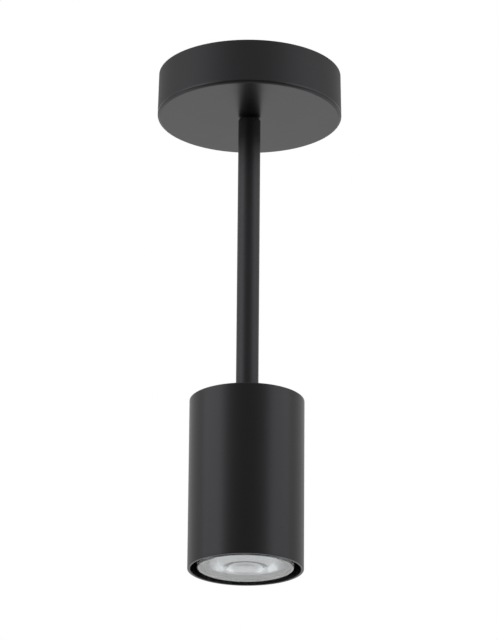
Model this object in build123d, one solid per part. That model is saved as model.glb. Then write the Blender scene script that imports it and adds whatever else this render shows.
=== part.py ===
from build123d import *
import math
import os

os.makedirs("parts", exist_ok=True)

# Ceiling spot lamp. Sizes are in millimetres.
# The origin is the middle of the ceiling plane and Z points up, so the lamp hangs below zero.

# Canopy cup, closed end down
canopy_diameter = 100.0
canopy_height = 25.0
canopy_wall = 1.2
canopy_rim_inset = 0.5  # the wall leans in this much towards the ceiling
canopy_edge_radius = 1.5

# Stem
stem_diameter = 12.0
stem_length = 161.0
stem_bore = 9.0
stem_thread = 10.0  # thread size of both tube ends
stem_thread_depth = 14.0
thread_grip = 11.0  # how far a threaded piece goes into a tube end

# Hollow adapter that joins the stem to the canopy, with its neck in sight
neck_height = 1.0
neck_top_diameter = 10.2
neck_bottom_diameter = 10.8
adapter_thread = 8.0
adapter_bore = 6.0

# Head
head_diameter = 61.0
head_length = 93.0
head_wall = 1.5
head_top = 2.0
head_edge_radius = 0.5
nipple_bore = 7.0

# Reflector lamp with a two-pin twist base
lamp_diameter = 50.8
lamp_length = 46.7  # face to shoulder, without the pins
lamp_recess = 0.6  # face above the head's mouth
lamp_base_diameter = 27.0
lamp_base_height = 14.0
lamp_wall = 1.4
lens_flange = 2.6
lens_gauge = 1.6
lens_edge_radius = 0.8
lens_dish = 1.0  # how far the front is hollowed towards the ring
lens_ring_diameter = 20.4
lens_groove = 0.4  # half the width of the groove round the ring
lens_bead = 0.6  # height of the bead behind the ring
lens_bead_width = 3.0
light_board_depth = 20.0
light_board_gauge = 1.6
reflector_gauge = 0.8
source_diameter = 11.0
pin_spacing = 10.0
pin_neck_diameter = 3.0
pin_neck_length = 4.0
pin_head_diameter = 4.9
pin_head_length = 3.3
twist_angle = 30.0  # from locked to where the pins come out

# Lampholder
holder_diameter = 27.0
holder_front_wall = 3.4
holder_chamfer = 1.0
holder_cap_height = 9.0
holder_screw_spacing = 18.0
contact_gauge = 0.8
contact_width = 6.8
crimp_diameter = 2.8
strap_width = 12.0
strap_gauge = 1.2

# Mounting bracket
bracket_width = 22.0
bracket_gauge = 1.5
bracket_bend = 0.8  # inside radius of the bent tabs
bracket_corner = 3.0
tab_drop = 14.0
lock_screw_drop = 8.0
lock_screw_thread = 4.0
slot_spacing = 60.0
slot_width = 4.5
slot_overall = 16.0
cable_hole = 12.0
cable_hole_offset = -11.0
earth_screw_offset = 16.0
earth_screw_thread = 4.0

# Terminal block
pole_count = 3
pole_pitch = 10.0
block_width = 17.0
block_height = 8.5
block_offset = 13.0  # near face of the block from the lamp's axis
tower_height = 3.5
tower_diameter = 6.6
barrel_diameter = 4.4
barrel_bore = 3.2
clamp_screw_thread = 2.6

# Leads
lead_diameter = 2.0
lead_spread = 1.2  # each lead's distance from the axis inside the stem
wire_pin_diameter = 1.6
ring_gauge = 0.8

# Fasteners
washer_gauge = 0.8
adapter_nut_width = 13.0
adapter_nut_height = 3.5
nipple_nut_width = 14.0
nipple_nut_height = 4.0
thread_end = 1.5  # thread that shows past a nut
small_screw_thread = 3.0
small_head = 5.5
small_head_height = 2.0
small_nut_width = 5.5
small_nut_height = 2.4
clamp_head_height = 2.0
earth_head_height = 2.6
bush_flange = 1.0
bush_sleeve = 4.0
bush_wall = 0.5

# Clearances
thread_gap = 0.05  # per side, between two threaded pieces
hole_gap = 0.15  # per side, where a piece passes through a hole
seat_gap = 0.3  # between the lamp and the lampholder
fit_gap = 0.03  # per side, for pieces set into one another

# Heights that follow from the sizes above
canopy_floor = -canopy_height
canopy_inside = canopy_floor + canopy_wall
stem_top = canopy_floor - neck_height
stem_bottom = stem_top - stem_length
head_ceiling = stem_bottom - head_top
head_mouth = stem_bottom - head_length
lamp_face = head_mouth + lamp_recess
lamp_shoulder = lamp_face + lamp_length
holder_front = lamp_shoulder + seat_gap
contact_seat = lamp_shoulder + pin_neck_length + pin_head_length + seat_gap
holder_joint = contact_seat + contact_gauge + fit_gap
holder_top = holder_joint + holder_cap_height
holder_screw_seat = holder_front + small_head_height + seat_gap
adapter_end = canopy_inside + washer_gauge + adapter_nut_height + thread_end
nipple_end = head_ceiling - strap_gauge - ring_gauge - washer_gauge - nipple_nut_height - thread_end

# Places in plan that follow from the sizes above
canopy_radius = canopy_diameter / 2
rim_radius = canopy_radius - canopy_rim_inset
tab_face = math.sqrt((rim_radius - canopy_wall - 0.5) ** 2 - (bracket_width / 2) ** 2)
block_middle = block_offset + block_width / 2
barrel_height = -bracket_gauge - block_height * 0.54
wire_height = barrel_height + barrel_bore / 2 - wire_pin_diameter / 2 - fit_gap
clamp_offset = (block_width - tower_diameter) / 2
poles = [(index - (pole_count - 1) / 2) * pole_pitch for index in range(pole_count)]
fixings = [(left + right) / 2 for left, right in zip(poles, poles[1:])]
pin_circle = pin_spacing / 2

LOW = (Align.CENTER, Align.CENTER, Align.MIN)
HIGH = (Align.CENTER, Align.CENTER, Align.MAX)


def turned(*corners):
    # Solid of revolution about the Z axis, from its outline as (radius, height) corners.
    return revolve(Plane.XZ * make_face(Polyline(*corners, close=True)), Axis.Z)


def rod(diameter, low, high, x=0.0, y=0.0):
    # Upright cylinder between two heights.
    return Pos(x, y, low) * Cylinder(diameter / 2, high - low, align=LOW)


def ring(outside, bore, low, high):
    # Plain ring about the Z axis between two heights.
    return rod(outside, low, high) - rod(bore, low, high)


def circles_at(body, radius, height):
    # The round edges of one radius at one height.
    edges = body.edges().filter_by(GeomType.CIRCLE)
    return [e for e in edges if abs(e.radius - radius) < 1e-4 and abs(e.arc_center.Z - height) < 1e-4]


def hex_nut(width, bore, low, high, x=0.0, y=0.0):
    # Hexagon nut with both faces chamfered at the corners.
    tall = high - low
    hexagon = extrude(RegularPolygon(width / 2, 6, major_radius=False), tall)
    corner = width / math.sqrt(3)
    blank = chamfer(Cylinder(corner, tall, align=LOW).edges().filter_by(GeomType.CIRCLE), corner * 0.1)
    return Pos(x, y, low) * ((hexagon & blank) - Cylinder(bore / 2, tall, align=LOW))


def toothed_washer(outside, bore, low, high):
    # Lock washer with teeth cut into its outer edge.
    notch = Box(outside * 0.16, outside * 0.07, washer_gauge * 3)
    notches = [loc * notch for loc in PolarLocations(outside / 2, 12)]
    return ring(outside, bore, low, high) - Pos(0, 0, (low + high) / 2) * Compound(notches)


def slotted_screw(thread, head, head_height, length):
    # Screw that points up from the seat of its head at zero, with a slot across the head.
    body = rod(thread, 0, length) + rod(head, -head_height, 0)
    body = fillet(circles_at(body, head / 2, -head_height), head_height * 0.35)
    return body - Pos(0, 0, -head_height) * Box(head * 1.2, head * 0.16, head_height)


def ring_terminal(bore, reach):
    # Crimped ring terminal under z = 0, its crimp along +X with the lead's end at reach.
    outside = bore * 1.9
    crimp = lead_diameter + 1.0
    plate = rod(outside, -ring_gauge, 0)
    plate += Pos(outside / 4, 0, -ring_gauge / 2) * Box(reach - outside / 2, crimp * 0.8, ring_gauge, align=(
        Align.MIN, Align.CENTER, Align.CENTER))
    plate -= rod(bore, -ring_gauge, 0)
    start = outside / 2 + 0.4
    barrel = Pos(start, 0, -crimp / 2) * Rot(0, 90, 0) * Cylinder(crimp / 2, reach - start, align=LOW)
    hollow = Pos(start, 0, -crimp / 2) * Rot(0, 90, 0) * Cylinder(
        lead_diameter / 2 + fit_gap, reach - start, align=LOW)
    return (plate + barrel) - hollow


def lead(corners, bends):
    # Insulated lead of round section along straight runs joined by arcs.
    path = FilletPolyline(*corners, radius=bends)
    return sweep(Plane(origin=path @ 0, z_dir=path % 0) * Circle(lead_diameter / 2), path=path)


# Canopy: a cup with one hole for the adapter and two for the lock screws

def wall_radius(height):
    # Outside radius of the canopy's leaning wall.
    return rim_radius - canopy_rim_inset * height / canopy_height


def make_canopy():
    outside = turned((0, 0), (rim_radius, 0), (canopy_radius, canopy_floor), (0, canopy_floor))
    outside = fillet(circles_at(outside, canopy_radius, canopy_floor), canopy_edge_radius)
    low = wall_radius(canopy_inside) - canopy_wall
    inside = turned((0, 0), (rim_radius - canopy_wall, 0), (low, canopy_inside), (0, canopy_inside))
    inside = fillet(circles_at(inside, low, canopy_inside), max(canopy_edge_radius - canopy_wall, 0.2))
    cup = outside - inside
    cup -= rod(adapter_thread + 2 * hole_gap, canopy_floor, canopy_inside)
    screw_holes = Rot(0, 90, 0) * Cylinder(lock_screw_thread / 2 + hole_gap, canopy_diameter * 1.1)
    return cup - Pos(0, 0, -lock_screw_drop) * screw_holes


def make_lock_screws():
    # Two headless screws, turned out of the tabs into the canopy's holes.
    outer = wall_radius(-lock_screw_drop) - canopy_wall * 0.25
    inner = tab_face - bracket_gauge - 0.5
    screw = Pos(inner, 0, 0) * Rot(0, 90, 0) * Cylinder(lock_screw_thread / 2, outer - inner, align=LOW)
    socket = Pos(outer, 0, 0) * Rot(0, 90, 0) * extrude(RegularPolygon(1.0, 6, major_radius=False), -2.0)
    screw = Pos(0, 0, -lock_screw_drop) * (screw - socket)
    return [screw, Rot(0, 0, 180) * screw]


# Mounting bracket: a strip with bent tabs, a lug for the terminal block, slots and holes

def make_bracket():
    strip = Box(2 * tab_face, bracket_width, bracket_gauge, align=HIGH)
    for side in (-1, 1):
        tab = Box(bracket_gauge, bracket_width, tab_drop, align=HIGH)
        strip += Pos(side * (tab_face - bracket_gauge / 2), 0, 0) * tab
    cross_edges = strip.edges().filter_by(Axis.Y)
    inner_bends = [e for e in cross_edges if abs(abs(e.center().X) - tab_face + bracket_gauge) < 1e-4
                   and abs(e.center().Z + bracket_gauge) < 1e-4]
    strip = fillet(inner_bends, bracket_bend)
    cross_edges = strip.edges().filter_by(Axis.Y)
    outer_bends = [e for e in cross_edges if abs(abs(e.center().X) - tab_face) < 1e-4
                   and abs(e.center().Z) < 1e-4]
    strip = fillet(outer_bends, bracket_bend + bracket_gauge)
    tab_corners = [e for e in strip.edges().filter_by(Axis.X) if abs(e.center().Z + tab_drop) < 1e-4]
    strip = fillet(tab_corners, bracket_corner)

    lug_width = fixings[-1] - fixings[0] + 2 * small_screw_thread
    lug_end = block_middle + small_head
    lug = Box(lug_width, lug_end, bracket_gauge, align=(Align.CENTER, Align.MIN, Align.MAX))
    lug = fillet(lug.edges().filter_by(Axis.Z).sort_by(Axis.Y)[-2:], bracket_corner)
    strip += lug

    for side in (-1, 1):
        slot = extrude(SlotOverall(slot_overall, slot_width), -bracket_gauge)
        strip -= Pos(side * slot_spacing / 2, 0, 0) * slot
    strip -= rod(cable_hole, -bracket_gauge, 0, cable_hole_offset)
    strip -= rod(earth_screw_thread + 2 * thread_gap, -bracket_gauge, 0, earth_screw_offset)
    for x in fixings:
        strip -= rod(small_screw_thread + 2 * thread_gap, -bracket_gauge, 0, x, block_middle)
    lock_holes = Rot(0, 90, 0) * Cylinder(lock_screw_thread / 2 + thread_gap, canopy_diameter)
    return strip - Pos(0, 0, -lock_screw_drop) * lock_holes


# Terminal block: poles joined by a thin slab, screw towers underneath

def at_poles(offset, piece):
    # One copy of a piece at every pole, at a distance along Y from the block's middle.
    return [Pos(x, block_middle + offset, 0) * piece for x in poles]


def make_block_housing():
    pole = Box(pole_pitch - 1.6, block_width, block_height, align=HIGH)
    pole = chamfer(pole.edges().filter_by(Axis.Y).sort_by(Axis.Z)[:2], 0.8)
    slab = Box(poles[-1] - poles[0] + 2, block_width - 6, 3.0, align=HIGH)
    top = -bracket_gauge
    housing = Pos(0, block_middle, top) * slab
    for x in poles:
        housing += Pos(x, block_middle, top) * pole
        for side in (-1, 1):
            housing += rod(tower_diameter, top - block_height - tower_height, top - block_height / 2,
                           x, block_middle + side * clamp_offset)
    for x in fixings:
        housing += rod(small_screw_thread + 3.0, top - block_height, top, x, block_middle)
        housing -= rod(small_screw_thread + 2 * hole_gap, top - block_height, top, x, block_middle)
    bore = Rot(90, 0, 0) * Cylinder(barrel_diameter / 2 + fit_gap, block_width - 3.0)
    entry = Rot(90, 0, 0) * Cylinder(wire_height - barrel_height + lead_diameter / 2 + hole_gap, block_width)
    for x in poles:
        housing -= Pos(x, block_middle, barrel_height) * bore
        housing -= Pos(x, block_middle, barrel_height) * entry
        for side in (-1, 1):
            housing -= rod(clamp_screw_thread + 1.4, top - block_height - tower_height, barrel_height,
                           x, block_middle + side * clamp_offset)
    return housing


def make_block_barrels():
    barrel = Rot(90, 0, 0) * Cylinder(barrel_diameter / 2, block_width - 3.0)
    barrel -= Rot(90, 0, 0) * Cylinder(barrel_bore / 2, block_width)
    for side in (-1, 1):
        barrel -= rod(clamp_screw_thread + 2 * thread_gap, -barrel_diameter, 0, 0, side * clamp_offset)
    return at_poles(0, Pos(0, 0, barrel_height) * barrel)


def make_clamp_screws():
    # The screws on the lamp's side hold the wire pins, the others stand clear of the bores.
    head = clamp_screw_thread + 0.9
    length = (barrel_diameter + barrel_bore) / 2 - 0.9
    screw = slotted_screw(clamp_screw_thread, head, clamp_head_height, length)
    held = wire_height - wire_pin_diameter / 2 - fit_gap - length
    open_bore = barrel_height - barrel_bore / 2 - length
    return (at_poles(-clamp_offset, Pos(0, 0, held) * screw)
            + at_poles(clamp_offset, Pos(0, 0, open_bore) * screw))


def make_block_screws():
    seat = -bracket_gauge - block_height
    length = block_height + bracket_gauge * 0.8
    screw = slotted_screw(small_screw_thread, small_head, small_head_height, length)
    return [Pos(x, block_middle, seat) * screw for x in fixings]


# Earth connection on the bracket: two ring terminals, a washer and a screw

jumper_angle = math.degrees(math.atan2(block_offset - 1.0, poles[-1] - earth_screw_offset))
jumper_reach = 8.0
earth_reach = 7.5
ring_crimp = (lead_diameter + 1.0) / 2


def make_bracket_rings():
    bore = earth_screw_thread + 2 * hole_gap
    upper = Rot(0, 0, jumper_angle) * ring_terminal(bore, jumper_reach)
    lower = Pos(0, 0, -ring_gauge) * Rot(0, 0, 180) * ring_terminal(bore, earth_reach)
    return [Pos(earth_screw_offset, 0, -bracket_gauge) * terminal for terminal in (upper, lower)]


def make_earth_washer():
    high = -bracket_gauge - 2 * ring_gauge
    bore = earth_screw_thread + 2 * hole_gap
    washer = toothed_washer(earth_screw_thread * 1.9, bore, high - washer_gauge, high)
    return Pos(earth_screw_offset, 0, 0) * washer


def make_earth_screw():
    seat = -bracket_gauge - 2 * ring_gauge - washer_gauge
    length = -seat - bracket_gauge * 0.1
    screw = slotted_screw(earth_screw_thread, earth_screw_thread * 1.85, earth_head_height, length)
    return Pos(earth_screw_offset, 0, seat) * Rot(0, 0, 40) * screw


# Stem: tube, adapter with its neck, and what clamps the adapter in the canopy

def make_stem_tube():
    tube = ring(stem_diameter, stem_bore, stem_bottom, stem_top)
    tapped = stem_thread + 2 * thread_gap
    tube -= rod(tapped, stem_top - stem_thread_depth, stem_top)
    tube -= rod(tapped, stem_bottom, stem_bottom + stem_thread_depth)
    return fillet(circles_at(tube, stem_diameter / 2, stem_top), (stem_diameter - neck_bottom_diameter) / 2)


def make_stem_adapter():
    body = turned(
        (0, stem_top - thread_grip), (stem_thread / 2, stem_top - thread_grip), (stem_thread / 2, stem_top),
        (neck_bottom_diameter / 2, stem_top), (neck_top_diameter / 2, canopy_floor),
        (adapter_thread / 2, canopy_floor), (adapter_thread / 2, adapter_end), (0, adapter_end))
    return body - rod(adapter_bore, stem_top - thread_grip, adapter_end)


def make_canopy_washer():
    bore = adapter_thread + 2 * hole_gap
    return toothed_washer(adapter_thread * 1.9, bore, canopy_inside, canopy_inside + washer_gauge)


def make_canopy_nut():
    low = canopy_inside + washer_gauge
    return hex_nut(adapter_nut_width, adapter_thread + 2 * thread_gap, low, low + adapter_nut_height)


def make_wire_bush(pipe, bore):
    # Plastic bush on the end of a hollow thread, its flange above zero.
    sleeve = bore - 2 * fit_gap
    bush = rod(pipe, 0, bush_flange) + rod(sleeve, -bush_sleeve, 0)
    bush = fillet(circles_at(bush, pipe / 2, bush_flange), bush_flange * 0.4)
    return bush - rod(sleeve - 2 * bush_wall, -bush_sleeve, bush_flange)


# Head: shell, hollow nipple and what clamps them to the stem

def make_head_shell():
    radius = head_diameter / 2
    shell = rod(head_diameter, head_mouth, stem_bottom)
    shell -= rod(head_diameter - 2 * head_wall, head_mouth, head_ceiling)
    shell = fillet(circles_at(shell, radius, stem_bottom), head_edge_radius)
    shell = fillet(circles_at(shell, radius - head_wall, head_ceiling), head_edge_radius)
    mouth = circles_at(shell, radius, head_mouth) + circles_at(shell, radius - head_wall, head_mouth)
    shell = fillet(mouth, head_wall * 0.25)
    return shell - rod(stem_thread + 2 * hole_gap, head_ceiling, stem_bottom)


def make_head_nipple():
    return ring(stem_thread, nipple_bore, nipple_end, stem_bottom + thread_grip)


head_ring_angle = -60.0
head_ring_reach = nipple_nut_width / math.sqrt(3) + lead_diameter / 2 + 1.6


def make_head_ring():
    # Large ring terminal under the strap, its tongue bent down to a crimp.
    high = head_ceiling - strap_gauge
    bore = stem_thread + 2 * hole_gap
    crimp = lead_diameter + 1.0
    plate = rod(stem_thread * 1.6, high - ring_gauge, high)
    plate += Pos(0, 0, high - ring_gauge / 2) * Box(head_ring_reach, crimp, ring_gauge, align=(
        Align.MIN, Align.CENTER, Align.CENTER))
    plate -= rod(bore, high - ring_gauge, high)
    plate += rod(crimp, high - 2 * crimp, high, head_ring_reach)
    plate -= rod(lead_diameter + 2 * fit_gap, high - 2 * crimp, high - ring_gauge, head_ring_reach)
    return Rot(0, 0, head_ring_angle) * plate


def make_head_washer():
    high = head_ceiling - strap_gauge - ring_gauge
    return toothed_washer(stem_thread * 1.5, stem_thread + 2 * hole_gap, high - washer_gauge, high)


def make_head_nut():
    high = head_ceiling - strap_gauge - ring_gauge - washer_gauge
    return hex_nut(nipple_nut_width, stem_thread + 2 * thread_gap, high - nipple_nut_height, high)


# Lampholder: strap, two ceramic halves, contacts, screws and nuts

def make_holder_strap():
    half = holder_screw_spacing / 2 + small_nut_width * 0.9
    strap = Pos(0, 0, head_ceiling) * Box(strap_width, 2 * half, strap_gauge, align=HIGH)
    for side in (-1, 1):
        leg = Box(strap_width, strap_gauge, head_ceiling - holder_top, align=LOW)
        strap += Pos(0, side * (half - strap_gauge / 2), holder_top) * leg
        foot = Box(strap_width, small_nut_width * 1.6, strap_gauge, align=(
            Align.CENTER, Align.MAX, Align.MIN))
        strap += Pos(0, 0, holder_top) * Rot(0, 0, 0 if side > 0 else 180) * Pos(0, half, 0) * foot
    bends = [e for e in strap.edges().filter_by(Axis.X) if abs(abs(e.center().Y) - half) < 1e-4]
    strap = fillet(bends, strap_gauge)
    strap -= rod(stem_thread + 2 * hole_gap, head_ceiling - strap_gauge, head_ceiling)
    for side in (-1, 1):
        strap -= rod(small_screw_thread + 2 * hole_gap, holder_top, holder_top + strap_gauge,
                     0, side * holder_screw_spacing / 2)
    return strap


def bayonet(width, low, high):
    # Two facing arc slots that the pins travel in, from locked to the way out.
    slots = []
    for start in (-twist_angle, 180 - twist_angle):
        travel = CenterArc((0, 0), pin_circle, start, twist_angle)
        slots.append(Pos(0, 0, low) * extrude(SlotArc(travel, width), high - low))
    return slots


def screw_places():
    return [(0, side * holder_screw_spacing / 2) for side in (-1, 1)]


contact_length = holder_diameter / 2 - pin_circle + 0.5


def contact_blank(grow):
    # Outline of one contact plate at the contact seat, on the +X side.
    plate = Box(contact_length + 2 * grow, contact_width + 2 * grow, contact_gauge + grow, align=(
        Align.MIN, Align.CENTER, Align.MIN))
    return Pos(pin_circle - pin_head_diameter / 2 - grow, 0, 0) * plate


def make_holder_base():
    base = rod(holder_diameter, holder_front, holder_joint)
    base = chamfer(circles_at(base, holder_diameter / 2, holder_front), holder_chamfer)
    inner_face = holder_front + holder_front_wall
    base -= bayonet(pin_neck_diameter + 0.6, holder_front, inner_face)
    base -= bayonet(pin_head_diameter + 0.8, inner_face, holder_joint)
    for turn in (-twist_angle, 180 - twist_angle):
        base -= Rot(0, 0, turn) * rod(pin_head_diameter + 0.8, holder_front, inner_face, pin_circle)
    for turn in (0, 180):
        base -= Rot(0, 0, turn) * Pos(0, 0, contact_seat) * contact_blank(fit_gap)
    for x, y in screw_places():
        base -= rod(small_screw_thread + 2 * hole_gap, holder_front, holder_joint, x, y)
        base -= rod(small_head + 2 * hole_gap, holder_front, holder_screw_seat, x, y)
    return base


def make_holder_cap():
    cap = rod(holder_diameter, holder_joint, holder_top)
    cap = fillet(circles_at(cap, holder_diameter / 2, holder_top), 1.5)
    for side in (-1, 1):
        cap -= rod(crimp_diameter + 2 * hole_gap, holder_joint, holder_top, side * pin_circle)
    for x, y in screw_places():
        cap -= rod(small_screw_thread + 2 * hole_gap, holder_joint, holder_top, x, y)
    return cap


crimp_top = holder_joint + holder_cap_height * 0.7


def make_holder_contacts():
    plate = Pos(0, 0, contact_seat) * contact_blank(0)
    plate += rod(crimp_diameter, contact_seat, crimp_top, pin_circle)
    plate -= rod(lead_diameter + 2 * fit_gap, contact_seat + contact_gauge, crimp_top, pin_circle)
    return [plate, Rot(0, 0, 180) * plate]


def make_holder_screws():
    length = holder_top + strap_gauge + small_nut_height + thread_end - holder_screw_seat
    screw = slotted_screw(small_screw_thread, small_head, small_head_height, length)
    return [Pos(x, y, holder_screw_seat) * screw for x, y in screw_places()]


def make_holder_nuts():
    low = holder_top + strap_gauge
    bore = small_screw_thread + 2 * thread_gap
    return [hex_nut(small_nut_width, bore, low, low + small_nut_height, x, y) for x, y in screw_places()]


# Leads: each runs from the terminal block or the earth screw down the stem to the lampholder

def in_stem(angle):
    # Place of one lead inside the stem, in plan.
    return lead_spread * math.cos(math.radians(angle)), lead_spread * math.sin(math.radians(angle))


lead_turn = (wire_height + adapter_end) / 2 + 2.5
lead_drop = nipple_end - bush_flange - 1.0
lead_start = block_offset + 0.4


def lamp_lead(pole, angle, contact):
    # Live or neutral lead, from its pole to its contact.
    x, y = in_stem(angle)
    end = crimp_top - 3.0
    return lead([(pole, lead_start, wire_height), (pole, lead_start - 4.0, wire_height), (x, y, lead_turn),
                 (x, y, lead_drop), (contact, 0, crimp_top + 2.5), (contact, 0, end)],
                [3.5, 5.0, 4.0, 4.0])


def make_earth_lead():
    # From the bracket's lower ring down the stem, then up again into the head's ring.
    x, y = in_stem(head_ring_angle)
    turn = math.radians(head_ring_angle)
    far_x = head_ring_reach * math.cos(turn)
    far_y = head_ring_reach * math.sin(turn)
    loop = lead_drop - 6.0
    start = earth_screw_offset - earth_reach + 2.0
    height = -bracket_gauge - ring_gauge - ring_crimp
    return lead([(start, 0, height), (start - 2.6, 0, height), (x, y, height - 1.6), (x, y, loop),
                 (far_x, far_y, loop), (far_x, far_y, head_ceiling - strap_gauge - 3.5)],
                [3.0, 4.6, 4.0, 4.0])


def make_earth_jumper():
    # From the earth pole to the bracket's upper ring.
    turn = math.radians(jumper_angle)
    end = jumper_reach - 2.0
    bend = jumper_reach + 2.2
    height = -bracket_gauge - ring_crimp
    return lead([(poles[-1], lead_start, wire_height), (poles[-1], lead_start - 1.2, wire_height),
                 (earth_screw_offset + bend * math.cos(turn), bend * math.sin(turn), height),
                 (earth_screw_offset + end * math.cos(turn), end * math.sin(turn), height)], [1.5, 2.0])


def make_wire_pins():
    # Tinned pins on the three lead ends in the terminal block.
    length = block_width / 2 - 1.4
    pin = Rot(-90, 0, 0) * Cylinder(wire_pin_diameter / 2, length, align=LOW)
    return [Pos(x, lead_start, wire_height) * pin for x in poles]


# Reflector lamp. Depths are measured up from its face.

def lamp_outline(edges):
    # Solid of revolution from connected lines and arcs of the lamp's section.
    return Pos(0, 0, lamp_face) * revolve(Plane.XZ * make_face(edges), Axis.Z)


lamp_radius = lamp_diameter / 2
base_radius = lamp_base_diameter / 2
housing_depth = lamp_length - lamp_base_height
lens_seat = lens_flange + 2.0
shoulder_depth = 6.0


def cone_radius(depth):
    # Straight line from the lamp's front ring to its base, which the housing bulges out from.
    share = (depth - shoulder_depth) / (housing_depth - shoulder_depth)
    return lamp_radius + (base_radius - lamp_radius) * share


def make_lamp_housing():
    middle = (shoulder_depth + housing_depth) / 2
    bulge = cone_radius(middle) + 1.2
    front = lamp_radius - lamp_wall
    back = base_radius - lamp_wall
    edges = [
        Polyline((front, lens_flange), (lamp_radius, lens_flange), (lamp_radius, shoulder_depth)),
        ThreePointArc((lamp_radius, shoulder_depth), (bulge, middle), (base_radius, housing_depth)),
        Line((base_radius, housing_depth), (back, housing_depth)),
        ThreePointArc((back, housing_depth), (bulge - lamp_wall, middle), (front, shoulder_depth)),
        Line((front, shoulder_depth), (front, lens_flange)),
    ]
    shell = lamp_outline(edges)
    ledge_low = light_board_depth + light_board_gauge
    ledge = Pos(0, 0, lamp_face) * ring(2 * cone_radius(ledge_low), 2 * (cone_radius(ledge_low) - 4.0),
                                        ledge_low, ledge_low + 1.4)
    return shell + ledge


def make_lamp_base():
    outside = rod(lamp_base_diameter, lamp_face + housing_depth, lamp_shoulder)
    outside = chamfer(circles_at(outside, base_radius, lamp_shoulder), 1.2)
    spigot = base_radius - lamp_wall - fit_gap
    # The spigot sits inside the housing's neck, which still widens a little there.
    outside += rod(2 * spigot, lamp_face + housing_depth - 2.0, lamp_face + housing_depth)
    outside -= rod(2 * (spigot - 1.4), lamp_face + housing_depth - 2.0, lamp_shoulder - 2.5)
    for side in (-1, 1):
        outside -= rod(pin_neck_diameter + 2 * fit_gap, lamp_shoulder - 2.5, lamp_shoulder, side * pin_circle)
    return outside


def make_lamp_pins():
    pin = rod(pin_neck_diameter, lamp_shoulder - 2.5, lamp_shoulder + pin_neck_length, pin_circle)
    top = lamp_shoulder + pin_neck_length + pin_head_length
    pin += rod(pin_head_diameter, lamp_shoulder + pin_neck_length, top, pin_circle)
    pin = fillet(circles_at(pin, pin_head_diameter / 2, top), 0.8)
    return [pin, Rot(0, 0, 180) * pin]


def make_lamp_lens():
    # Clear front of even thickness: rounded edge, hollowed band, a groove with a bead behind it.
    # Its skirt goes into the housing and holds the reflector back.
    groove = lens_ring_diameter / 2
    lip = groove + lens_groove
    band = lamp_radius - lens_edge_radius
    spigot = lamp_radius - lamp_wall - fit_gap
    skirt = spigot - lamp_wall
    bevel = lens_edge_radius * math.sqrt(0.5)
    back = lens_dish + lens_gauge
    rim = back - lens_dish * (skirt - lip) / (band - lip)
    bead = lip - lens_bead_width
    edges = [
        Polyline((0, back), (0, lens_dish), (groove - lens_groove, lens_dish),
                 (groove, lens_dish + lens_groove / 2), (lip, lens_dish), (band, 0)),
        ThreePointArc((band, 0), (band + bevel, lens_edge_radius - bevel), (lamp_radius, lens_edge_radius)),
        Polyline((lamp_radius, lens_edge_radius), (lamp_radius, lens_flange), (spigot, lens_flange),
                 (spigot, lens_seat), (skirt, lens_seat), (skirt, rim), (lip, back)),
        ThreePointArc((lip, back), ((lip + bead) / 2, back + lens_bead), (bead, back)),
        Line((bead, back), (0, back)),
    ]
    return lamp_outline(edges)


def make_lamp_reflector():
    wide = lamp_radius - lamp_wall - 1.0
    narrow = source_diameter / 2 + 2.0
    middle = (lens_seat + light_board_depth) / 2
    bow = (wide + narrow) / 2 + 2.2
    thin = reflector_gauge
    edges = [
        ThreePointArc((wide, lens_seat), (bow, middle), (narrow, light_board_depth)),
        Line((narrow, light_board_depth), (narrow - thin, light_board_depth)),
        ThreePointArc((narrow - thin, light_board_depth), (bow - thin, middle), (wide - thin, lens_seat)),
        Line((wide - thin, lens_seat), (wide, lens_seat)),
    ]
    return lamp_outline(edges)


def make_light_board():
    radius = cone_radius(light_board_depth + light_board_gauge) - lamp_wall - 0.3
    low = lamp_face + light_board_depth
    return rod(2 * radius, low, low + light_board_gauge)


def make_light_source():
    high = lamp_face + light_board_depth
    source = rod(source_diameter, high - 0.8, high)
    dome = Pos(0, 0, high - 0.8) * Sphere(source_diameter * 0.36, arc_size1=-90, arc_size2=0, align=HIGH)
    return source + dome


driver_gauge = 1.2
driver_height = lamp_base_height * 1.1
driver_top = lamp_shoulder - 2.5


def make_driver_board():
    return Pos(0, 0, driver_top) * Box(lamp_base_diameter * 0.6, driver_gauge, driver_height, align=HIGH)


def make_driver_parts():
    # A capacitor on one side of the board, a coil and a chip on the other.
    middle = driver_top - driver_height / 2
    unit = lamp_base_diameter / 9
    face = driver_gauge / 2
    capacitor = Pos(-unit, face + unit, middle) * Cylinder(unit, driver_height * 0.7)
    coil = Pos(unit * 0.8, -face - unit * 0.9, middle) * Box(unit * 2.2, unit * 1.8, driver_height * 0.5)
    chip = Pos(-unit * 1.6, -face - unit * 0.25, middle) * Box(unit * 1.3, unit * 0.5, driver_height * 0.3)
    return [capacitor, coil, chip]


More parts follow.
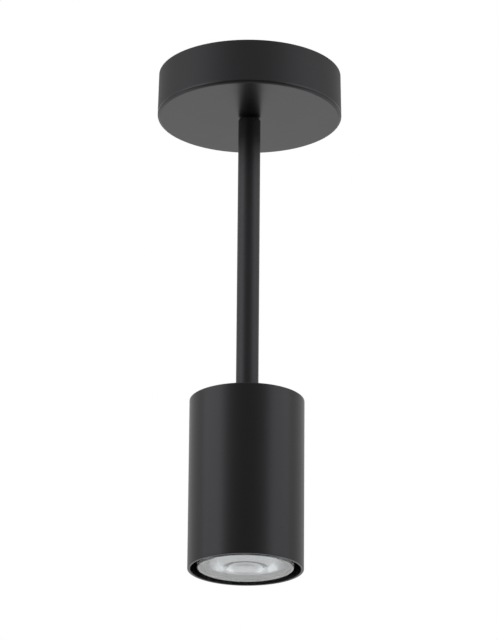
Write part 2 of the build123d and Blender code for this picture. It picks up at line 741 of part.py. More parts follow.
nodes = {
    "canopy": make_canopy(),
    "canopy_lock_screws": make_lock_screws(),
    "mounting_bracket": make_bracket(),
    "terminal_block_housing": make_block_housing(),
    "terminal_block_barrels": make_block_barrels(),
    "terminal_clamp_screws": make_clamp_screws(),
    "terminal_fixing_screws": make_block_screws(),
    "bracket_ring_terminals": make_bracket_rings(),
    "bracket_earth_washer": make_earth_washer(),
    "bracket_earth_screw": make_earth_screw(),
    "stem_tube": make_stem_tube(),
    "stem_adapter": make_stem_adapter(),
    "canopy_washer": make_canopy_washer(),
    "canopy_nut": make_canopy_nut(),
    "canopy_wire_bush": Pos(0, 0, adapter_end) * make_wire_bush(adapter_thread, adapter_bore),
    "head_shell": make_head_shell(),
    "head_nipple": make_head_nipple(),
    "head_ring_terminal": make_head_ring(),
    "head_washer": make_head_washer(),
    "head_nut": make_head_nut(),
    "head_wire_bush": Pos(0, 0, nipple_end) * Rot(180, 0, 0) * make_wire_bush(stem_thread, nipple_bore),
    "lampholder_strap": make_holder_strap(),
    "lampholder_base": make_holder_base(),
    "lampholder_cap": make_holder_cap(),
    "lampholder_contacts": make_holder_contacts(),
    "lampholder_screws": make_holder_screws(),
    "lampholder_nuts": make_holder_nuts(),
    "live_lead": lamp_lead(poles[0], 180.0, -pin_circle),
    "neutral_lead": lamp_lead(poles[1], 60.0, pin_circle),
    "earth_lead": make_earth_lead(),
    "earth_jumper": make_earth_jumper(),
    "wire_pins": make_wire_pins(),
    "lamp_housing": make_lamp_housing(),
    "lamp_base": make_lamp_base(),
    "lamp_pins": make_lamp_pins(),
    "lamp_lens": make_lamp_lens(),
    "lamp_reflector": make_lamp_reflector(),
    "lamp_light_board": make_light_board(),
    "lamp_light_source": make_light_source(),
    "lamp_driver_board": make_driver_board(),
    "lamp_driver_parts": make_driver_parts(),
}

for name, shape in nodes.items():
    pieces = shape if isinstance(shape, list) else shape.solids()
    solids = [solid for piece in pieces for solid in piece.solids()]
    export_step(Compound(solids), f"parts/{name}.step")
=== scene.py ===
import math

import bmesh
import bpy
from mathutils import Matrix, Vector


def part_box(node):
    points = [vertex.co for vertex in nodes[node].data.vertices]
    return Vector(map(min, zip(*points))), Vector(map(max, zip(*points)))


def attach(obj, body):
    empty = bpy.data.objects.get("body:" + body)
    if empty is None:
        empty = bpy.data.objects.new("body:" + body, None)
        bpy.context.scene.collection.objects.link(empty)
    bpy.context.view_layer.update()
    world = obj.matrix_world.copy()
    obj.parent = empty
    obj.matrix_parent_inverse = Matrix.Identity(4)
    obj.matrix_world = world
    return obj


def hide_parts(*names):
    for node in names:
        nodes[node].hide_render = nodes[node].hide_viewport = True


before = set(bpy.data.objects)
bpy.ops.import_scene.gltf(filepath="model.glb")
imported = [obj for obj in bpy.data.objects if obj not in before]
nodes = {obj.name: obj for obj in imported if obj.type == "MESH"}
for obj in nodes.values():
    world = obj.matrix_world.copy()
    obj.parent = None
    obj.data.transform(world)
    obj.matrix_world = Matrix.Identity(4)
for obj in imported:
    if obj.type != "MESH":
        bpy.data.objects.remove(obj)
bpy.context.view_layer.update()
bpy.ops.object.select_all(action="DESELECT")
print("frame loaded,", len(nodes), "nodes")


class Wire:
    # a shader socket that can stand in a Python expression

    def __init__(self, socket):
        self.socket = socket

    def node(self, kind, settings, sockets, out=0):
        made = self.socket.id_data.nodes.new(kind)
        for key, value in settings.items():
            setattr(made, key, value)
        plugIn(made, sockets)
        return Wire(made.outputs[out])

    def maths(self, operation, *terms):
        return self.node("ShaderNodeMath", {"operation": operation}, dict(enumerate(terms)))

    def __add__(self, other):
        return self.maths("ADD", self, other)

    def __radd__(self, other):
        return self.maths("ADD", other, self)

    def __sub__(self, other):
        return self.maths("SUBTRACT", self, other)

    def __rsub__(self, other):
        return self.maths("SUBTRACT", other, self)

    def __mul__(self, other):
        return self.maths("MULTIPLY", self, other)

    def __rmul__(self, other):
        return self.maths("MULTIPLY", other, self)

    def __truediv__(self, other):
        return self.maths("DIVIDE", self, other)

    def __gt__(self, other):
        return self.maths("GREATER_THAN", self, other)

    def __lt__(self, other):
        return self.maths("LESS_THAN", self, other)

    def larger(self, other):
        return self.maths("MAXIMUM", self, other)

    def swing(self, amount):
        # a noise brought to both sides of zero
        return amount * (self - 0.5)

    def axis(self, name):
        return self.node("ShaderNodeSeparateXYZ", {}, {"Vector": self}, name)

    def stretched(self, scale):
        return self.node("ShaderNodeMapping", {}, {"Vector": self, "Scale": scale})

    def noise(self, scale, detail, roughness=0.5):
        sockets = {"Vector": self, "Scale": scale, "Detail": detail, "Roughness": roughness}
        return self.node("ShaderNodeTexNoise", {}, sockets, "Fac")

    def steps(self, low, high, bottom=0.0, top=1.0):
        # a soft step from bottom to top as the value goes from low to high
        sockets = {"Value": self, "From Min": low, "From Max": high,
                   "To Min": bottom, "To Max": top}
        return self.node("ShaderNodeMapRange", {"interpolation_type": "SMOOTHSTEP"}, sockets)

    def blend(self, first, second):
        # colour that goes from first to second as the value goes from 0 to 1
        sockets = {0: self, 6: first, 7: second}
        return self.node("ShaderNodeMix", {"data_type": "RGBA"}, sockets, 2)

    def bump(self, strength, distance):
        sockets = {"Height": self, "Strength": strength, "Distance": distance}
        return self.node("ShaderNodeBump", {}, sockets, "Normal")


def plugIn(node, sockets):
    for key, value in sockets.items():
        if isinstance(value, Wire):
            node.id_data.links.new(value.socket, node.inputs[key])
        else:
            node.inputs[key].default_value = value


def startFinish(name):
    # a new material, its shader, and the wire that carries the place on the surface
    made = bpy.data.materials.new(name)
    made.use_nodes = True
    tree = made.node_tree
    place = Wire(tree.nodes.new("ShaderNodeTexCoord").outputs["Object"])
    return made, tree.nodes["Principled BSDF"], place


def grey(value):
    return (value, value, value, 1.0)


# in the looks below a noise is scale, detail and sometimes roughness, a bump is strength and
# distance, and an edge is where a soft step begins and ends

# black powder coat on canopy, stem and head; the canopy's flat underside is smoother than its wall
coatLook = {
    "dark": (0.0040, 0.0041, 0.0044, 1), "pale": (0.0052, 0.0053, 0.0056, 1),
    "tint": (0.955, 0.940, 1.0, 1),  # of the gloss
    "cloud": (38, 3), "peel": (1300, 1), "grain": (5200, 2),
    "grainSwing": 0.06, "cloudSwing": 0.04, "grainHeight": 0.35, "bump": (0.06, 0.0001),
}
headCoat = {"roughness": 0.33, "specular": 0.50}
stemCoat = {"roughness": 0.46, "specular": 0.55}
canopyCoat = {"roughness": 0.56, "specular": 0.50,
              "underside": 0.30, "undersideEdge": (-0.0236, -0.0226)}


def blackCoat(name, kind):
    made, shader, place = startFinish(name)
    roughness = kind["roughness"]
    if "underside" in kind:
        high = place.axis("Z")
        roughness = high.steps(*kind["undersideEdge"], kind["underside"], roughness)
    cloud = place.noise(*coatLook["cloud"])
    peel = place.noise(*coatLook["peel"])
    grain = place.noise(*coatLook["grain"])
    roughness = roughness + grain.swing(coatLook["grainSwing"])
    plugIn(shader, {
        "Base Color": cloud.blend(coatLook["dark"], coatLook["pale"]),
        "Roughness": roughness + cloud.swing(coatLook["cloudSwing"]),
        "Specular IOR Level": kind["specular"],
        "Specular Tint": coatLook["tint"],
        "Normal": (peel + coatLook["grainHeight"] * grain).bump(*coatLook["bump"])})
    return made


# stem adapter: black neck in sight, plain plated threads above and below it
adapterLook = {
    "neckLow": -0.02605, "neckHigh": -0.02495, "pitch": 0.001,
    "plate": (0.60, 0.61, 0.63, 1), "shade": (0.52, 0.53, 0.56, 1), "cloud": (120, 3),
    "roughness": 0.30, "cloudRough": 0.10, "bump": (1.0, 0.0006),
}


def threadHeight(place, pitch):
    # a ridge that winds round the axis and climbs by the pitch in each turn
    turn = place.maths("ARCTAN2", place.axis("Y"), place.axis("X")) / (2 * math.pi)
    climb = place.axis("Z") / pitch + turn
    middle = climb.maths("FRACT", climb) - 0.5
    return middle.maths("ABSOLUTE", middle)


def adapterFinish():
    made, shader, place = startFinish("adapterFinish")
    high = place.axis("Z")
    neck = (high > adapterLook["neckLow"]) * (high < adapterLook["neckHigh"])
    cloud = place.noise(*adapterLook["cloud"])
    plate = cloud.blend(adapterLook["plate"], adapterLook["shade"])
    threads = threadHeight(place, adapterLook["pitch"]) * (1 - neck)
    plugIn(shader, {
        "Base Color": neck.blend(plate, coatLook["dark"]),
        "Metallic": 1 - neck,
        "Roughness": adapterLook["roughness"] + adapterLook["cloudRough"] * cloud,
        "Normal": threads.bump(*adapterLook["bump"])})
    return made


# bright zinc plate on the pressed and turned steel pieces
zincLook = {
    "blue": (0.50, 0.53, 0.58, 1), "straw": (0.63, 0.62, 0.57, 1),
    "tint": (55, 4, 0.6), "tintEdge": (0.3, 0.7), "marks": (260, 3), "spangle": (900, 2),
    "turned": (4, 4, 0.5), "rolled": (0.4, 6, 6),  # how the marks are stretched
    "roughness": 0.27, "marksRough": 0.16, "spangleSwing": 0.08,
    "marksHeight": 0.5, "spangleHeight": 0.2, "bump": (0.12, 0.00012),
    "pitch": 0.001, "besideThread": 0.1, "threadBump": (0.9, 0.0005),
}


def zincPlate(name, stretch, threaded=False):
    made, shader, place = startFinish(name)
    tint = place.noise(*zincLook["tint"]).steps(*zincLook["tintEdge"])
    marks = place.stretched(stretch).noise(*zincLook["marks"])
    spangle = place.noise(*zincLook["spangle"])
    height = zincLook["marksHeight"] * marks + zincLook["spangleHeight"] * spangle
    bump = zincLook["bump"]
    if threaded:
        height = height * zincLook["besideThread"] + threadHeight(place, zincLook["pitch"])
        bump = zincLook["threadBump"]
    roughness = zincLook["roughness"] + zincLook["marksRough"] * marks
    plugIn(shader, {
        "Base Color": tint.blend(zincLook["blue"], zincLook["straw"]),
        "Metallic": 1.0,
        "Roughness": roughness + spangle.swing(zincLook["spangleSwing"]),
        "Normal": height.bump(*bump)})
    return made


# bare brass of the barrels and contacts, tinned copper of the crimped ends, nickel on the lamp pins
metalLook = {"stain": (180, 4, 0.65), "stainEdge": (0.35, 0.7), "stainRough": 0.18,
             "marks": (300, 2), "stretch": (1, 14, 14), "bump": (0.1, 0.0001)}
brass = {"bright": (0.66, 0.47, 0.17, 1), "dull": (0.46, 0.30, 0.10, 1), "roughness": 0.24}
tin = {"bright": (0.62, 0.61, 0.58, 1), "dull": (0.44, 0.43, 0.41, 1), "roughness": 0.30}
nickel = {"bright": (0.62, 0.60, 0.56, 1), "dull": (0.50, 0.48, 0.45, 1), "roughness": 0.20}


def softMetal(name, kind):
    made, shader, place = startFinish(name)
    stain = place.noise(*metalLook["stain"])
    marks = place.stretched(metalLook["stretch"]).noise(*metalLook["marks"])
    plugIn(shader, {
        "Base Color": stain.steps(*metalLook["stainEdge"]).blend(kind["bright"], kind["dull"]),
        "Metallic": 1.0,
        "Roughness": kind["roughness"] + metalLook["stainRough"] * stain,
        "Normal": marks.bump(*metalLook["bump"])})
    return made


# moulded plastics: terminal housing, bushes, lamp body
plasticLook = {"flow": (70, 3), "stretch": (1, 1, 0.35), "sparkSwing": 0.12, "waxDepth": 0.002}
whitePlastic = {"pale": (0.80, 0.80, 0.77, 1), "dark": (0.74, 0.74, 0.71, 1), "roughness": 0.48,
                "spark": (1500, 2), "bump": (0.08, 0.0001), "waxy": 0.15}
bushPlastic = {"pale": (0.022, 0.022, 0.023, 1), "dark": (0.034, 0.034, 0.035, 1),
               "roughness": 0.50, "spark": (1700, 2), "bump": (0.12, 0.0001), "waxy": 0.0}
lampPlastic = {"pale": (0.62, 0.62, 0.61, 1), "dark": (0.56, 0.56, 0.55, 1), "roughness": 0.52,
               "spark": (2200, 2), "bump": (0.15, 0.0001), "waxy": 0.0}


def mouldedPlastic(name, kind):
    made, shader, place = startFinish(name)
    flow = place.stretched(plasticLook["stretch"]).noise(*plasticLook["flow"])
    spark = place.noise(*kind["spark"])
    plugIn(shader, {
        "Base Color": flow.blend(kind["pale"], kind["dark"]),
        "Roughness": kind["roughness"] + spark.swing(plasticLook["sparkSwing"]),
        "Subsurface Weight": kind["waxy"],
        "Subsurface Scale": plasticLook["waxDepth"],
        "Normal": spark.bump(*kind["bump"])})
    return made


# unglazed ceramic of the lampholder
steatiteLook = {
    "body": (0.74, 0.71, 0.63, 1), "fleck": (0.56, 0.52, 0.44, 1),
    "flecks": (1500, 3, 0.7), "fleckEdge": (0.60, 0.72), "cloud": (90, 2), "pores": (2600, 2),
    "fleckShare": 0.5, "cloudShare": 0.25, "roughness": 0.55, "poreRough": 0.2,
    "bump": (0.18, 0.0001),
}


def steatite():
    made, shader, place = startFinish("steatite")
    fleck = place.noise(*steatiteLook["flecks"]).steps(*steatiteLook["fleckEdge"])
    cloud = place.noise(*steatiteLook["cloud"])
    pores = place.noise(*steatiteLook["pores"])
    shade = fleck * steatiteLook["fleckShare"] + cloud * steatiteLook["cloudShare"]
    plugIn(shader, {
        "Base Color": shade.blend(steatiteLook["body"], steatiteLook["fleck"]),
        "Roughness": steatiteLook["roughness"] + steatiteLook["poreRough"] * pores,
        "Normal": pores.bump(*steatiteLook["bump"])})
    return made


# silicone insulation of the leads; the earth lead's stripe follows the side of the lead
leadLook = {"chalk": (700, 3), "drawn": (2400, 1), "roughness": 0.42, "chalkRough": 0.12,
            "bump": (0.06, 0.0001), "stripeSide": (0.55, 0.62, 0.56), "stripeEdge": (0.08, 0.18)}
brownLead = {"colour": (0.100, 0.035, 0.014, 1), "shade": (0.130, 0.050, 0.022, 1)}
blueLead = {"colour": (0.016, 0.075, 0.300, 1), "shade": (0.026, 0.100, 0.350, 1)}
earthLead = {"colour": (0.045, 0.220, 0.035, 1), "shade": (0.060, 0.260, 0.050, 1),
             "stripe": (0.720, 0.560, 0.030, 1)}


def insulation(name, kind):
    made, shader, place = startFinish(name)
    chalk = place.noise(*leadLook["chalk"])
    drawn = place.noise(*leadLook["drawn"])
    skin = chalk.blend(kind["colour"], kind["shade"])
    if "stripe" in kind:
        facing = Wire(made.node_tree.nodes.new("ShaderNodeTexCoord").outputs["Normal"])
        side = facing.node("ShaderNodeVectorMath", {"operation": "DOT_PRODUCT"},
                           {0: facing, 1: leadLook["stripeSide"]}, "Value")
        skin = side.steps(*leadLook["stripeEdge"]).blend(skin, kind["stripe"])
    plugIn(shader, {
        "Base Color": skin,
        "Roughness": leadLook["roughness"] + leadLook["chalkRough"] * chalk,
        "Normal": drawn.bump(*leadLook["bump"])})
    return made


# circuit boards
boardLook = {"lineEdge": (0.05, 0.10), "uneven": 0.7, "weave": (1800, 1), "roughness": 0.38,
             "weaveRough": 0.1, "lineHeight": 0.5, "weaveHeight": 0.1, "bump": (0.25, 0.00005)}
lightBoard = {"ground": (0.80, 0.80, 0.78, 1), "track": (0.62, 0.62, 0.60, 1), "scale": 160}
greenBoard = {"ground": (0.020, 0.085, 0.036, 1), "track": (0.035, 0.135, 0.055, 1), "scale": 320}


def circuitBoard(name, kind):
    made, shader, place = startFinish(name)
    cells = place.node("ShaderNodeTexVoronoi",
                       {"feature": "DISTANCE_TO_EDGE", "distance": "EUCLIDEAN"},
                       {"Vector": place, "Scale": kind["scale"], "Randomness": boardLook["uneven"]},
                       "Distance")
    weave = place.noise(*boardLook["weave"])
    line = cells.steps(*boardLook["lineEdge"])
    height = line * boardLook["lineHeight"] + weave * boardLook["weaveHeight"]
    plugIn(shader, {
        "Base Color": line.blend(kind["track"], kind["ground"]),
        "Roughness": boardLook["roughness"] + boardLook["weaveRough"] * weave,
        "Normal": height.bump(*boardLook["bump"])})
    return made


# driver components: sleeved capacitor on the +Y side, coil and chip on the other
driverLook = {
    "sleeve": (0.018, 0.030, 0.075, 1), "coilFrom": -0.001,
    "chip": (0.030, 0.030, 0.032, 1), "chipPale": (0.050, 0.050, 0.052, 1),
    "wire": (0.42, 0.17, 0.06, 1), "wireGap": (0.20, 0.07, 0.03, 1),
    "turns": 420, "wander": 0.6, "speck": (900, 2), "roughness": 0.45, "speckRough": 0.15,
    "speckHeight": 0.1, "bump": (0.3, 0.0002),
}


def driverFinish():
    made, shader, place = startFinish("driverFinish")
    sleeve = place.axis("Y") > 0
    coil = (1 - sleeve) * (place.axis("X") > driverLook["coilFrom"])
    winding = place.node(
        "ShaderNodeTexWave", {"bands_direction": "Z"},
        {"Vector": place, "Scale": driverLook["turns"], "Distortion": driverLook["wander"]}, "Fac")
    speck = place.noise(*driverLook["speck"])
    chip = speck.blend(driverLook["chip"], driverLook["chipPale"])
    copper = winding.blend(driverLook["wire"], driverLook["wireGap"])
    height = winding * coil + speck * driverLook["speckHeight"]
    plugIn(shader, {
        "Base Color": coil.blend(sleeve.blend(chip, driverLook["sleeve"]), copper),
        "Roughness": driverLook["roughness"] + driverLook["speckRough"] * speck,
        "Normal": height.bump(*driverLook["bump"])})
    return made


# lamp optics: lens, mirror and light source
lensLook = {"clear": (0.98, 0.985, 0.985, 1), "swirled": (0.955, 0.965, 0.965, 1),
            "swirl": (260, 2), "roughness": 0.08, "swirlRough": 0.05, "index": 1.49,
            "ripple": (420, 1), "bump": (0.04, 0.0002)}
mirrorLook = {"silver": (0.640, 0.668, 0.690, 1), "dull": (0.580, 0.605, 0.625, 1),
              "haze": (160, 3), "grain": (1400, 1), "roughness": 0.13, "hazeRough": 0.06,
              "bump": (0.03, 0.0001)}
phosphorLook = {"deep": (0.62, 0.58, 0.42, 1), "pale": (0.70, 0.67, 0.52, 1), "grain": (1800, 3),
                "roughness": 0.32, "grainRough": 0.15, "coat": 0.6, "grainCoat": 0.2,
                "bump": (0.08, 0.0001)}


def clearLens():
    made, shader, place = startFinish("clearLens")
    swirl = place.noise(*lensLook["swirl"])
    plugIn(shader, {
        "Base Color": swirl.blend(lensLook["clear"], lensLook["swirled"]),
        "Roughness": lensLook["roughness"] + lensLook["swirlRough"] * swirl,
        "Transmission Weight": 1.0,
        "IOR": lensLook["index"],
        "Normal": place.noise(*lensLook["ripple"]).bump(*lensLook["bump"])})
    return made


def silverMirror():
    made, shader, place = startFinish("silverMirror")
    haze = place.noise(*mirrorLook["haze"])
    grain = place.noise(*mirrorLook["grain"])
    plugIn(shader, {
        "Base Color": haze.blend(mirrorLook["silver"], mirrorLook["dull"]),
        "Metallic": 1.0,
        "Roughness": mirrorLook["roughness"] + mirrorLook["hazeRough"] * haze,
        "Normal": grain.bump(*mirrorLook["bump"])})
    return made


def phosphorFinish():
    made, shader, place = startFinish("phosphorFinish")
    grain = place.noise(*phosphorLook["grain"])
    plugIn(shader, {
        "Base Color": grain.blend(phosphorLook["deep"], phosphorLook["pale"]),
        "Roughness": phosphorLook["roughness"] + phosphorLook["grainRough"] * grain,
        "Coat Weight": phosphorLook["coat"] + phosphorLook["grainCoat"] * grain,
        "Normal": grain.bump(*phosphorLook["bump"])})
    return made


# by slot, then the nodes that have a finish of their own
finishes = {
    "black_coat": blackCoat("headCoat", headCoat),
    "zinc_steel": zincPlate("zincPlate", zincLook["turned"]),
    "brass": softMetal("bareBrass", brass),
    "tinned_copper": softMetal("tinnedCopper", tin),
    "white_plastic": mouldedPlastic("whitePlastic", whitePlastic),
    "bush_plastic": mouldedPlastic("bushPlastic", bushPlastic),
    "steatite": steatite(),
    "brown_insulation": insulation("brownInsulation", brownLead),
    "blue_insulation": insulation("blueInsulation", blueLead),
    "green_yellow_insulation": insulation("stripedInsulation", earthLead),
    "lamp_white_plastic": mouldedPlastic("lampPlastic", lampPlastic),
    "lamp_pin_metal": softMetal("nickelPlate", nickel),
    "clear_lens": clearLens(),
    "silver_reflector": silverMirror(),
    "light_board_metal": circuitBoard("lightBoard", lightBoard),
    "yellow_phosphor": phosphorFinish(),
    "green_board": circuitBoard("greenBoard", greenBoard),
    "dark_components": driverFinish(),
}
ownFinishes = {
    "canopy": blackCoat("canopyCoat", canopyCoat),
    "stem_tube": blackCoat("stemCoat", stemCoat),
    "stem_adapter": adapterFinish(),
    "mounting_bracket": zincPlate("rolledZinc", zincLook["rolled"]),
    "head_nipple": zincPlate("threadedZinc", zincLook["turned"], threaded=True),
}

for name, piece in nodes.items():
    slotName = piece.material_slots[0].material.name
    piece.material_slots[0].material = ownFinishes.get(name, finishes[slotName])
print("finishes on", len(nodes), "nodes")

squareOn = 0.99  # a face or edge this near to square counts as flat
nearAxis = 0.001


def pick(piece, kind, test):
    # selects only the faces or edges whose middle, and normal for faces, pass the test
    bpy.ops.mesh.select_mode(type="FACE" if kind == "faces" else "EDGE")
    bpy.ops.mesh.select_all(action="DESELECT")
    shape = bmesh.from_edit_mesh(piece.data)
    for part in getattr(shape, kind):
        corners = [corner.co for corner in part.verts]
        middle = sum(corners, Vector()) / len(corners)
        facing = part.normal if kind == "faces" else None
        if test(middle, facing):
            part.select_set(True)
    bmesh.update_edit_mesh(piece.data)


def startShape(name):
    # the primitive just added, named and open for editing
    piece = bpy.context.object
    piece.name = name
    piece.data.name = name
    bpy.ops.object.mode_set(mode="EDIT")
    return piece


def endShape(piece, angle, finish, body, node):
    # closes the edit, puts the place into the mesh, and sets the piece in for its node
    bpy.ops.object.mode_set(mode="OBJECT")
    bpy.ops.object.transform_apply(location=True, rotation=True, scale=True)
    bpy.ops.object.shade_smooth_by_angle(angle=math.radians(angle))
    piece.data.materials.clear()
    piece.data.materials.append(finishes[finish])
    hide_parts(node)
    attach(piece, body)
    piece.select_set(False)
    print(piece.name, "done,", len(piece.data.polygons), "faces")


def sink(inset, rise):
    # one step of a turned face: a ring inwards, then the middle up or down
    bpy.ops.mesh.inset(thickness=inset)
    bpy.ops.transform.translate(value=(0, 0, rise))


def pull(rise):
    bpy.ops.mesh.extrude_region_move(TRANSFORM_OT_translate={"value": (0, 0, rise)})


# clear lamp front: a thin, slightly dished moulding with a rounded rim, fine pressed rings, a bead
# round its centre behind, and a skirt that goes into the lamp body
lensPlan = {
    "sides": 128, "smooth": 40, "flange": 0.0026, "edge": 0.0008, "rimSteps": 5,
    "spigotInset": 0.00143, "seat": 0.0020, "skirtWall": 0.0014, "gauge": 0.0016,
    "dish": 0.0002, "backSteps": 6, "ringCount": 14, "ringPitch": 0.0010, "ringDepth": 0.000005,
    "ringSlope": 0.7, "ringStep": 0.3,  # shares of the pitch
    "groove": 0.0004, "grooveDepth": 0.0001,
    "beadOuter": 0.0012, "beadInner": 0.0036, "beadRise": 0.0003, "beadSteps": 6,
}


def makeLens():
    plan = lensPlan
    low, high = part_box("lamp_lens")
    radius = (high.x - low.x) / 2
    half = plan["flange"] / 2
    bpy.ops.mesh.primitive_cylinder_add(vertices=plan["sides"], radius=radius,
                                        depth=plan["flange"], location=(0, 0, low.z + half))
    piece = startShape("lampFront")
    pick(piece, "edges", lambda middle, facing: middle.z < -half * squareOn)
    bpy.ops.mesh.bevel(offset=plan["edge"], segments=plan["rimSteps"], affect="EDGES")
    pick(piece, "faces",
         lambda middle, facing: facing.z < -squareOn and middle.xy.length < nearAxis)
    fall = plan["dish"] / plan["ringCount"]
    for ring in range(plan["ringCount"]):
        sink(plan["ringPitch"] * plan["ringSlope"], fall + plan["ringDepth"])
        sink(plan["ringPitch"] * plan["ringStep"], -plan["ringDepth"])
    sink(plan["groove"], plan["grooveDepth"])
    sink(plan["groove"], -plan["grooveDepth"])
    pick(piece, "faces", lambda middle, facing: facing.z > squareOn)
    bpy.ops.mesh.inset(thickness=plan["spigotInset"])
    pull(plan["seat"])
    bpy.ops.mesh.inset(thickness=plan["skirtWall"])
    pull(-(plan["flange"] + plan["seat"] - plan["gauge"]))
    # the back follows the dish in front, as far in as the rings go
    inner = radius - plan["spigotInset"] - plan["skirtWall"]
    outer = radius - plan["edge"]
    rings = plan["ringCount"] * plan["ringPitch"]
    span = inner - (outer - rings)
    for step in range(plan["backSteps"]):
        sink(span / plan["backSteps"], plan["dish"] * span / rings / plan["backSteps"])
    sink(plan["beadOuter"], plan["beadRise"])
    for step in range(plan["beadSteps"]):
        sink(plan["beadInner"] / plan["beadSteps"], -plan["beadRise"] / plan["beadSteps"])
    endShape(piece, plan["smooth"], "clear_lens", "bulb", "lamp_lens")


# silvered bowl behind the lens, its wall rolled from the mouth up to the light board
bowlPlan = {"sides": 128, "smooth": 40, "mouth": 0.0222, "middle": 0.01665, "throat": 0.0067,
            "rows": 16, "gauge": 0.0007}


def makeReflector():
    plan = bowlPlan
    low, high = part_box("lamp_reflector")
    rise = (high.z - low.z) / plan["rows"]
    bpy.ops.mesh.primitive_circle_add(vertices=plan["sides"], radius=plan["mouth"],
                                      location=(0, 0, low.z))
    piece = startShape("lampBowl")
    bpy.ops.mesh.select_mode(type="EDGE")
    bpy.ops.mesh.select_all(action="SELECT")
    # quadratic through mouth, middle and throat
    bend = plan["mouth"] - 2 * plan["middle"] + plan["throat"]
    lean = plan["throat"] - plan["mouth"] - 2 * bend
    radius = plan["mouth"]
    for row in range(1, plan["rows"] + 1):
        share = row / plan["rows"]
        wanted = plan["mouth"] + lean * share + 2 * bend * share * share
        pull(rise)
        bpy.ops.transform.resize(value=(wanted / radius, wanted / radius, 1))
        radius = wanted
    bpy.ops.mesh.select_all(action="SELECT")
    bpy.ops.mesh.normals_make_consistent(inside=True)
    bpy.ops.object.mode_set(mode="OBJECT")
    wall = piece.modifiers.new("wall", "SOLIDIFY")
    wall.thickness = plan["gauge"]
    wall.offset = -1
    bpy.ops.object.modifier_apply(modifier="wall")
    endShape(piece, plan["smooth"], "silver_reflector", "bulb", "lamp_reflector")


# light source: round base, a dam ring and the coated dome inside it
sourcePlan = {
    "sides": 64, "smooth": 50, "base": 0.0008, "dam": 0.0009, "damRise": 0.0003, "domeSteps": 8,
    "damOut": 0.3, "damSide": 0.2, "damTop": 0.5, "damReach": 1.2,  # shares of the dam
}


def makeSource():
    plan = sourcePlan
    low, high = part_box("lamp_light_source")
    radius = (high.x - low.x) / 2
    dome = high.z - low.z - plan["base"]
    bpy.ops.mesh.primitive_cylinder_add(vertices=plan["sides"], radius=radius, depth=plan["base"],
                                        location=(0, 0, high.z - plan["base"] / 2))
    piece = startShape("lampSource")
    pick(piece, "faces", lambda middle, facing: facing.z < -squareOn)
    bpy.ops.mesh.inset(thickness=plan["dam"] * plan["damOut"])
    sink(plan["dam"] * plan["damSide"], -plan["damRise"])
    sink(plan["dam"] * plan["damTop"], 0)
    sink(plan["dam"] * plan["damSide"], plan["damRise"])
    reach = radius - plan["dam"] * plan["damReach"]
    for step in range(plan["domeSteps"]):
        inner = math.cos((step + 1) / (plan["domeSteps"] + 1) * math.pi / 2)
        outer = math.cos(step / (plan["domeSteps"] + 1) * math.pi / 2)
        lift = (math.sqrt(1 - inner * inner) - math.sqrt(1 - outer * outer)) * dome
        sink((outer - inner) * reach, -lift)
    endShape(piece, plan["smooth"], "yellow_phosphor", "bulb", "lamp_light_source")


makeLens()
makeReflector()
makeSource()


# white surround, for mirrored rays darker behind the camera and in a low band; pairs of soft boxes;
# a pale floor far below, darker in front for mirrored rays and dimmer through the lens
studio = {
    "ambient": 0.60, "surround": 0.85,
    "darkEdge": (0.55, 0.97), "darkRise": (0.33, 0.50), "darkShare": (0.76, 0.45),
    "bandFoot": (-0.02, 0.05), "bandTop": (0.20, 0.34), "bandDark": 0.65,
    "floorHeight": -2.4, "floorSize": 40, "floorGlow": 0.8,
    "nearEdge": (-1.5, 0.5), "nearFloor": 0.10, "throughGlass": 0.72,
    "paper": grey(0.90), "paperShade": grey(0.86), "paperCloud": (3, 2), "paperRough": 0.9,
    "aim": (0, 0, -0.25),
    "boxes": [  # place, width, height, power
        ("leftBox", (-5.70, -1.90, 3.40), 6.0, 3.9, 80),
        ("rightBox", (5.70, -1.90, 3.40), 6.0, 3.9, 64),
        ("leftLow", (-1.30, -0.12, -0.86), 0.72, 0.56, 1.25),
        ("rightLow", (1.30, -0.12, -0.86), 0.72, 0.56, 0.95),
        ("leftNear", (-0.70, -0.64, -1.00), 0.35, 0.25, 0.21),
        ("rightNear", (0.70, -0.64, -1.00), 0.35, 0.25, 0.22),
        ("leftEdge", (-3.30, -2.20, 0.15), 1.6, 0.35, 6.0),
        ("rightEdge", (3.30, -2.20, 0.15), 1.6, 0.35, 4.5),
    ],
}
cameraPlace = {"back": 2.002443, "height": -0.867446, "tilt": 0.347851, "roll": 0.008614,
               "yaw": 0.000335, "focalPixels": 3990.570, "longSidePixels": 640, "sensor": 36,
               "clip": (0.05, 100)}


def makeWorld():
    world = bpy.data.worlds.new("studioWorld")
    bpy.context.scene.world = world
    world.use_nodes = True
    tree = world.node_tree
    toward = Wire(tree.nodes.new("ShaderNodeTexCoord").outputs["Generated"])
    rays = tree.nodes.new("ShaderNodeLightPath").outputs
    mirrored = Wire(rays["Is Glossy Ray"])
    seen = Wire(rays["Is Camera Ray"]).larger(Wire(rays["Is Transmission Ray"]))
    high = toward.axis("Z")
    dark = (0 - toward.axis("Y")).steps(*studio["darkEdge"])
    dark = dark * high.steps(*studio["darkRise"], *studio["darkShare"])
    band = high.steps(*studio["bandFoot"]) * high.steps(*studio["bandTop"], studio["bandDark"], 0.0)
    around = mirrored * studio["surround"] * (1 - dark) * (1 - band)
    glow = seen + (1 - seen) * (around + (1 - mirrored) * studio["ambient"])
    plugIn(tree.nodes["Background"], {"Color": grey(1.0), "Strength": glow})


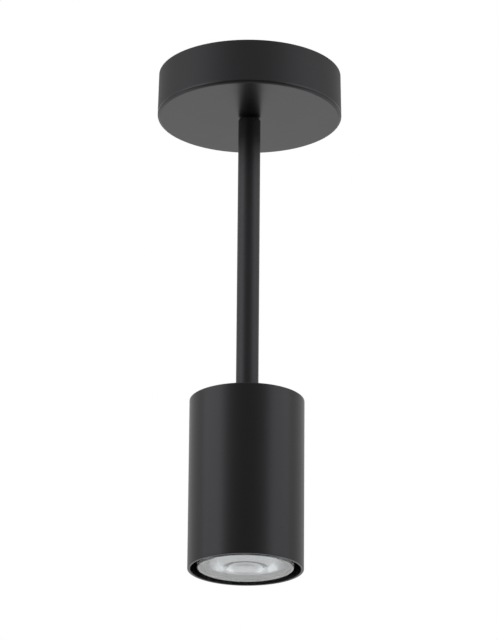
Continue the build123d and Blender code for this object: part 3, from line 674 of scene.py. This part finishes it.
def makeFloor():
    bpy.ops.mesh.primitive_plane_add(size=studio["floorSize"],
                                     location=(0, 0, studio["floorHeight"]))
    floor = bpy.context.object
    floor.name = "studioFloor"
    made, shader, place = startFinish("studioPaper")
    tree = made.node_tree
    rays = tree.nodes.new("ShaderNodeLightPath").outputs
    direct, through = Wire(rays["Is Camera Ray"]), Wire(rays["Is Transmission Ray"])
    seen = direct.larger(Wire(rays["Is Glossy Ray"])).larger(through)
    bright = place.axis("Y").steps(*studio["nearEdge"], studio["nearFloor"], 1.0)
    bright = through * studio["throughGlass"] + (1 - through) * bright
    colour = bright.larger(direct).blend(grey(0.0), grey(1.0))
    paper = place.noise(*studio["paperCloud"]).blend(studio["paper"], studio["paperShade"])
    plugIn(shader, {"Base Color": paper, "Roughness": studio["paperRough"]})
    glow = place.node("ShaderNodeEmission", {}, {"Color": colour, "Strength": 1.0})
    mixed = place.node("ShaderNodeMixShader", {},
                       {0: seen * studio["floorGlow"], 1: Wire(shader.outputs[0]), 2: glow})
    plugIn(tree.nodes["Material Output"], {"Surface": mixed})
    floor.data.materials.append(made)


def makeLights():
    for name, spot, width, tall, power in studio["boxes"]:
        bpy.ops.object.light_add(type="AREA", location=spot)
        lamp = bpy.context.object
        lamp.name = name
        lamp.data.shape = "RECTANGLE"
        lamp.data.size = width
        lamp.data.size_y = tall
        lamp.data.energy = power
        ray = Vector(studio["aim"]) - Vector(spot)
        lamp.rotation_euler = ray.to_track_quat("-Z", "Y").to_euler()
        lamp.visible_camera = False


def makeCamera():
    place = cameraPlace
    bpy.ops.object.camera_add()
    camera = bpy.context.object
    camera.data.sensor_width = place["sensor"]
    camera.data.lens = place["focalPixels"] / place["longSidePixels"] * place["sensor"]
    camera.data.clip_start, camera.data.clip_end = place["clip"]
    turn = (Matrix.Rotation(-place["yaw"], 4, "Z")
            @ Matrix.Rotation(math.pi / 2 + place["tilt"], 4, "X")
            @ Matrix.Rotation(place["roll"], 4, "Z"))
    camera.matrix_world = Matrix.Translation((0, -place["back"], place["height"])) @ turn
    bpy.context.scene.camera = camera


makeWorld()
makeFloor()
makeLights()
makeCamera()
bpy.context.scene.view_settings.view_transform = "Standard"
print("studio ready")
